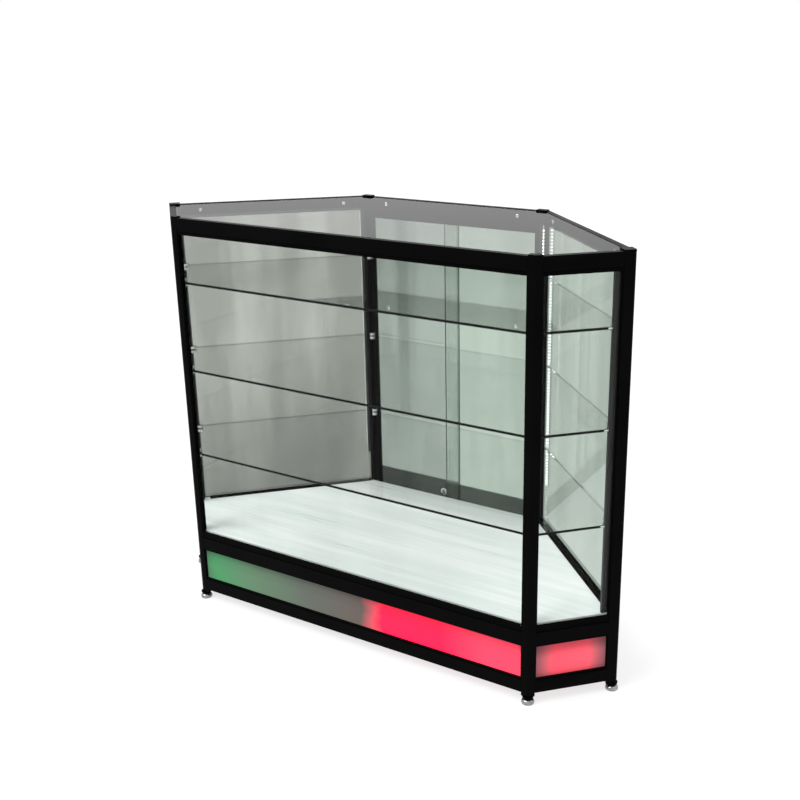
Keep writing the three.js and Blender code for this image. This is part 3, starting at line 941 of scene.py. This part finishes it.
# Black seals on both faces of the door glasses, above the door rails
SEAL_HEIGHT = 12.6 * MM
SEAL_GAP = 0.1 * MM
SEAL_FROM_END = 0.5 * MM
SEAL_SET_BACK = 0.15
SEAL_SLOPE = (0.2, 0.93)
for half in ("left", "right"):
    rail_low, rail_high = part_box(f"door_rail_{half}")
    sheet_low, sheet_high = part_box(f"door_glass_{half}")
    bm = bmesh.new()
    for outer, face in ((rail_low.y, sheet_low.y), (rail_high.y, sheet_high.y)):
        thick = face - outer
        near = face - math.copysign(SEAL_GAP, thick)
        far = outer + thick * SEAL_SET_BACK
        foot = rail_high.z + SEAL_GAP
        outline = [
            (near, foot),
            (far, foot),
            (far, foot + SEAL_HEIGHT * SEAL_SLOPE[1]),
            (far + thick * SEAL_SLOPE[0], foot + SEAL_HEIGHT),
            (near, foot + SEAL_HEIGHT),
        ]
        ends = (rail_low.x + SEAL_FROM_END, rail_high.x - SEAL_FROM_END)
        prism(bm, *[[Vector((x, y, z)) for y, z in outline] for x in ends])
    piece(f"door_seals_{half}", bm, [bead_plastic], f"door_{half}")

# The inner end of the lock: a dark face with a bright catch across it, which turns with the plug.
# Their outlines are in millimetres.
LOCK_FACE = [(0, 0), (5.2, 0), (5.4, 0.1), (5.4, 0.3), (0, 0.3)]
CATCH = [(-4.6, -1.9), (-3.4, -3.0), (4.4, 3.2), (3.4, 4.4)]
CATCH_ENDS = ((0.02, 1.0), (0.2, 0.9))
LOCK_FACE_OUT = 0.35 * MM
low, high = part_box("lock_plug")
middle = (low + high) / 2
middle.y = low.y - LOCK_FACE_OUT
toward_plug = Matrix.Translation(middle) @ Matrix.Rotation(math.radians(-90), 4, "X")
bm = bmesh.new()
turned(bm, in_mm(LOCK_FACE), toward_plug, segments=32)
rings = [
    [middle + Vector((x * taper, -out, z * taper)) * MM for x, z in CATCH]
    for out, taper in CATCH_ENDS
]
prism(bm, *rings, index=1)
piece("lock_inner_face", bm, [bead_plastic, chromed], "lock_plug")

# Button screws on the inner faces of the top rails, near their ends, in millimetres
SCREW = [(0, 0), (5.6, 0), (5.6, 0.7), (4.9, 2.0), (3.4, 2.9), (2.3, 3.1), (2.0, 1.6), (0, 1.6)]
SCREW_FROM_POST = 50 * MM
SCREW_LEVEL = FRAME_TOP - 19 * MM
RAIL_DEPTH = 15.2 * MM
BACK_RAIL_DEPTH = 20.7 * MM
BACK_RAIL_END = 30 * MM
bm = bmesh.new()
for side in SIDES:
    _, _, inward, length = side_frame(side)
    depth = BACK_RAIL_DEPTH if side == "back" else RAIL_DEPTH
    first, last = span(side, depth)
    if side == "back":
        first, last = BACK_RAIL_END, length - BACK_RAIL_END
    for distance in (first + SCREW_FROM_POST, last - SCREW_FROM_POST):
        at = on_side(side, distance, depth, SCREW_LEVEL)
        facing = Vector((inward.x, inward.y, 0)).to_track_quat("Z", "Y").to_matrix().to_4x4()
        turned(bm, in_mm(SCREW), Matrix.Translation(at) @ facing, segments=20)
piece("rail_screws", bm, [chromed], smooth=True)

# The lamps of the plinth: a strip behind each lit panel. Its outlines are in millimetres.
PLINTH_STRIP_INSET = 18 * MM
PLINTH_STRIP_LOW = 64 * MM
PLINTH_STRIP_FROM_END = 30 * MM
PLINTH_STRIP_OUTLINE = [(0, 0), (12, 0), (12, 2), (1.5, 2), (1.5, 8), (0, 8)]
PLINTH_LAMP_PITCH = 16.7 * MM
PLINTH_LAMP = [(-2.5, 3.0), (2.5, 3.0), (2.5, 8.0), (-2.5, 8.0)]
PLINTH_LAMP_ENDS = ((0, 1), (1.4, 0.88))
PLINTH_LAMP_TOWARD = 3.5
PLINTH_LAMP_FOOT = 2


def in_plinth(side, distance, inset, height):
    """A point of a plinth strip: its inset and height are in millimetres, from the strip's own"""
    inset = PLINTH_STRIP_INSET + inset * MM
    return on_side(side, distance, inset, PLINTH_STRIP_LOW + height * MM)


for side in LIT_SIDES:
    first, last = span(side, PLINTH_STRIP_INSET)
    first += PLINTH_STRIP_FROM_END
    last -= PLINTH_STRIP_FROM_END
    bm = bmesh.new()
    rings = [
        [in_plinth(side, end, inset, height) for inset, height in PLINTH_STRIP_OUTLINE]
        for end in (first, last)
    ]
    prism(bm, *rings)
    for k in range(int((last - first) / PLINTH_LAMP_PITCH)):
        distance = first + PLINTH_LAMP_PITCH * (k + 0.5)
        rings = []
        for rise, taper in PLINTH_LAMP_ENDS:
            sink = PLINTH_LAMP_TOWARD * (1 - taper)
            height = PLINTH_LAMP_FOOT + rise
            rings.append(
                [
                    in_plinth(side, distance + along * taper * MM, inset * taper + sink, height)
                    for along, inset in PLINTH_LAMP
                ]
            )
        prism(bm, *rings, index=1)
    piece(f"plinth_strip_{side}", bm, [channel, lamp])

# The driver under the board, with ribs on its lower face. A rib's outline is in millimetres.
DRIVER_WIDTH = 160 * MM
DRIVER_DEPTH = 50 * MM
DRIVER_HEIGHT = 30 * MM
DRIVER_FROM_BACK = 100 * MM
DRIVER_SINK = 1 * MM
DRIVER_RIBS = 6
FIRST_RIB = 0.2
RIB_STEP = 0.12
RIB = [(0, 6), (4, 6), (4, 44), (0, 44)]
RIB_ENDS = (-1.5 * MM, 0.1 * MM)
underside = MID_RAIL_TOP - DRIVER_SINK - DRIVER_HEIGHT
driver_low = Vector((-DRIVER_WIDTH / 2, HALF_DEPTH - DRIVER_FROM_BACK, underside))
bm = bmesh.new()
rings = [
    [
        driver_low + Vector((DRIVER_WIDTH * a, DRIVER_DEPTH * b, z))
        for a, b in ((0, 0), (1, 0), (1, 1), (0, 1))
    ]
    for z in (0, DRIVER_HEIGHT)
]
prism(bm, *rings)
for k in range(DRIVER_RIBS):
    across = driver_low.x + DRIVER_WIDTH * (FIRST_RIB + RIB_STEP * k)
    rings = [
        [Vector((across + x * MM, driver_low.y + y * MM, driver_low.z + z)) for x, y in RIB]
        for z in RIB_ENDS
    ]
    prism(bm, *rings)
piece("lamp_driver", bm, [bead_plastic], bevel=1.5 * MM)

# Floor, sky and lamps
# The camera sees the floor as a dim surface that keeps the shadow, lifted by its own light.
WORLD_LIGHT = 0.8
FLOOR_GREY = 0.34
FLOOR_LIFT = 0.72


def seen_directly(tree):
    """1 for what the camera, a mirror or a pane shows, 0 for light that falls on things"""
    path = add(tree, "ShaderNodeLightPath").outputs
    shown = math_node(tree, "MAXIMUM", path["Is Camera Ray"], path["Is Glossy Ray"])
    return math_node(tree, "MAXIMUM", shown, path["Is Transmission Ray"])


world = bpy.data.worlds.new("studio")
bpy.context.scene.world = world
world.use_nodes = True
sky = world.node_tree
sky.nodes.clear()
light = add(sky, "ShaderNodeBackground", Color=rgba((1, 1, 1)), Strength=WORLD_LIGHT)
white = add(sky, "ShaderNodeBackground", Color=rgba((1, 1, 1)), Strength=1.0)
chosen = mixed(sky, seen_directly(sky), light.outputs[0], white.outputs[0])
add(sky, "ShaderNodeOutputWorld", Surface=chosen)

floor_finish, tree = new_material("pale_floor")
FLOOR_TONES = [(0.3, (0.80, 0.80, 0.80)), (0.7, (0.82, 0.82, 0.82))]
pale = ramp(tree, stretched_noise(tree, 1.5), FLOOR_TONES)
bounce = add(tree, "ShaderNodeBsdfDiffuse", Color=pale)
dim = add(tree, "ShaderNodeBsdfDiffuse", Color=rgba((FLOOR_GREY, FLOOR_GREY, FLOOR_GREY)))
lift = add(tree, "ShaderNodeEmission", Color=rgba((1, 1, 1)), Strength=FLOOR_LIFT)
shown = add(tree, "ShaderNodeAddShader")
tree.links.new(dim.outputs[0], shown.inputs[0])
tree.links.new(lift.outputs[0], shown.inputs[1])
output(tree, mixed(tree, seen_directly(tree), bounce.outputs[0], shown.outputs[0]))

FLOOR_HALF = 60.0
FLOOR_CORNERS = ((-1, -1), (1, -1), (1, 1), (-1, 1))
bm = bmesh.new()
bm.faces.new([bm.verts.new((x * FLOOR_HALF, y * FLOOR_HALF, 0)) for x, y in FLOOR_CORNERS])
mesh = bpy.data.meshes.new("floor")
bm.to_mesh(mesh)
bm.free()
mesh.materials.append(floor_finish)
floor = bpy.data.objects.new("floor", mesh)
bpy.context.scene.collection.objects.link(floor)

SUN_STRENGTH = 1.62
SUN_FROM = Vector((-0.45, -0.65, 1.0))
sun = bpy.data.lights.new("key", "SUN")
sun.energy = SUN_STRENGTH
sun.angle = math.radians(35)
key = bpy.data.objects.new("key", sun)
key.rotation_mode = "QUATERNION"
key.rotation_quaternion = SUN_FROM.to_track_quat("Z", "Y")
bpy.context.scene.collection.objects.link(key)

# Camera, at the photograph's angle
CAMERA_AT = Vector((1.37484, -2.10905, 1.45282))
AZIMUTH = math.radians(-30.0498)
ELEVATION = math.radians(17.882)
ROLL = math.radians(0.3209)
SENSOR_WIDTH = 36
FOCAL_LENGTH = 47.676
SHIFT = (-0.0701, -0.0356)
forward = Vector(
    (
        math.cos(ELEVATION) * math.sin(AZIMUTH),
        math.cos(ELEVATION) * math.cos(AZIMUTH),
        -math.sin(ELEVATION),
    )
)
right = forward.cross(Vector((0, 0, 1))).normalized()
down = forward.cross(right)
rolled_right = right * math.cos(ROLL) + down * math.sin(ROLL)
rolled_down = down * math.cos(ROLL) - right * math.sin(ROLL)
lens = bpy.data.cameras.new("camera")
lens.sensor_width = SENSOR_WIDTH
lens.lens = FOCAL_LENGTH
lens.shift_x, lens.shift_y = SHIFT
camera = bpy.data.objects.new("camera", lens)
axes = (rolled_right, -rolled_down, -forward, CAMERA_AT)
camera.matrix_world = Matrix([[axis[i] for axis in axes] for i in range(3)] + [(0, 0, 0, 1)])
bpy.context.scene.collection.objects.link(camera)
bpy.context.scene.camera = camera
bpy.context.scene.view_settings.view_transform = "Standard"
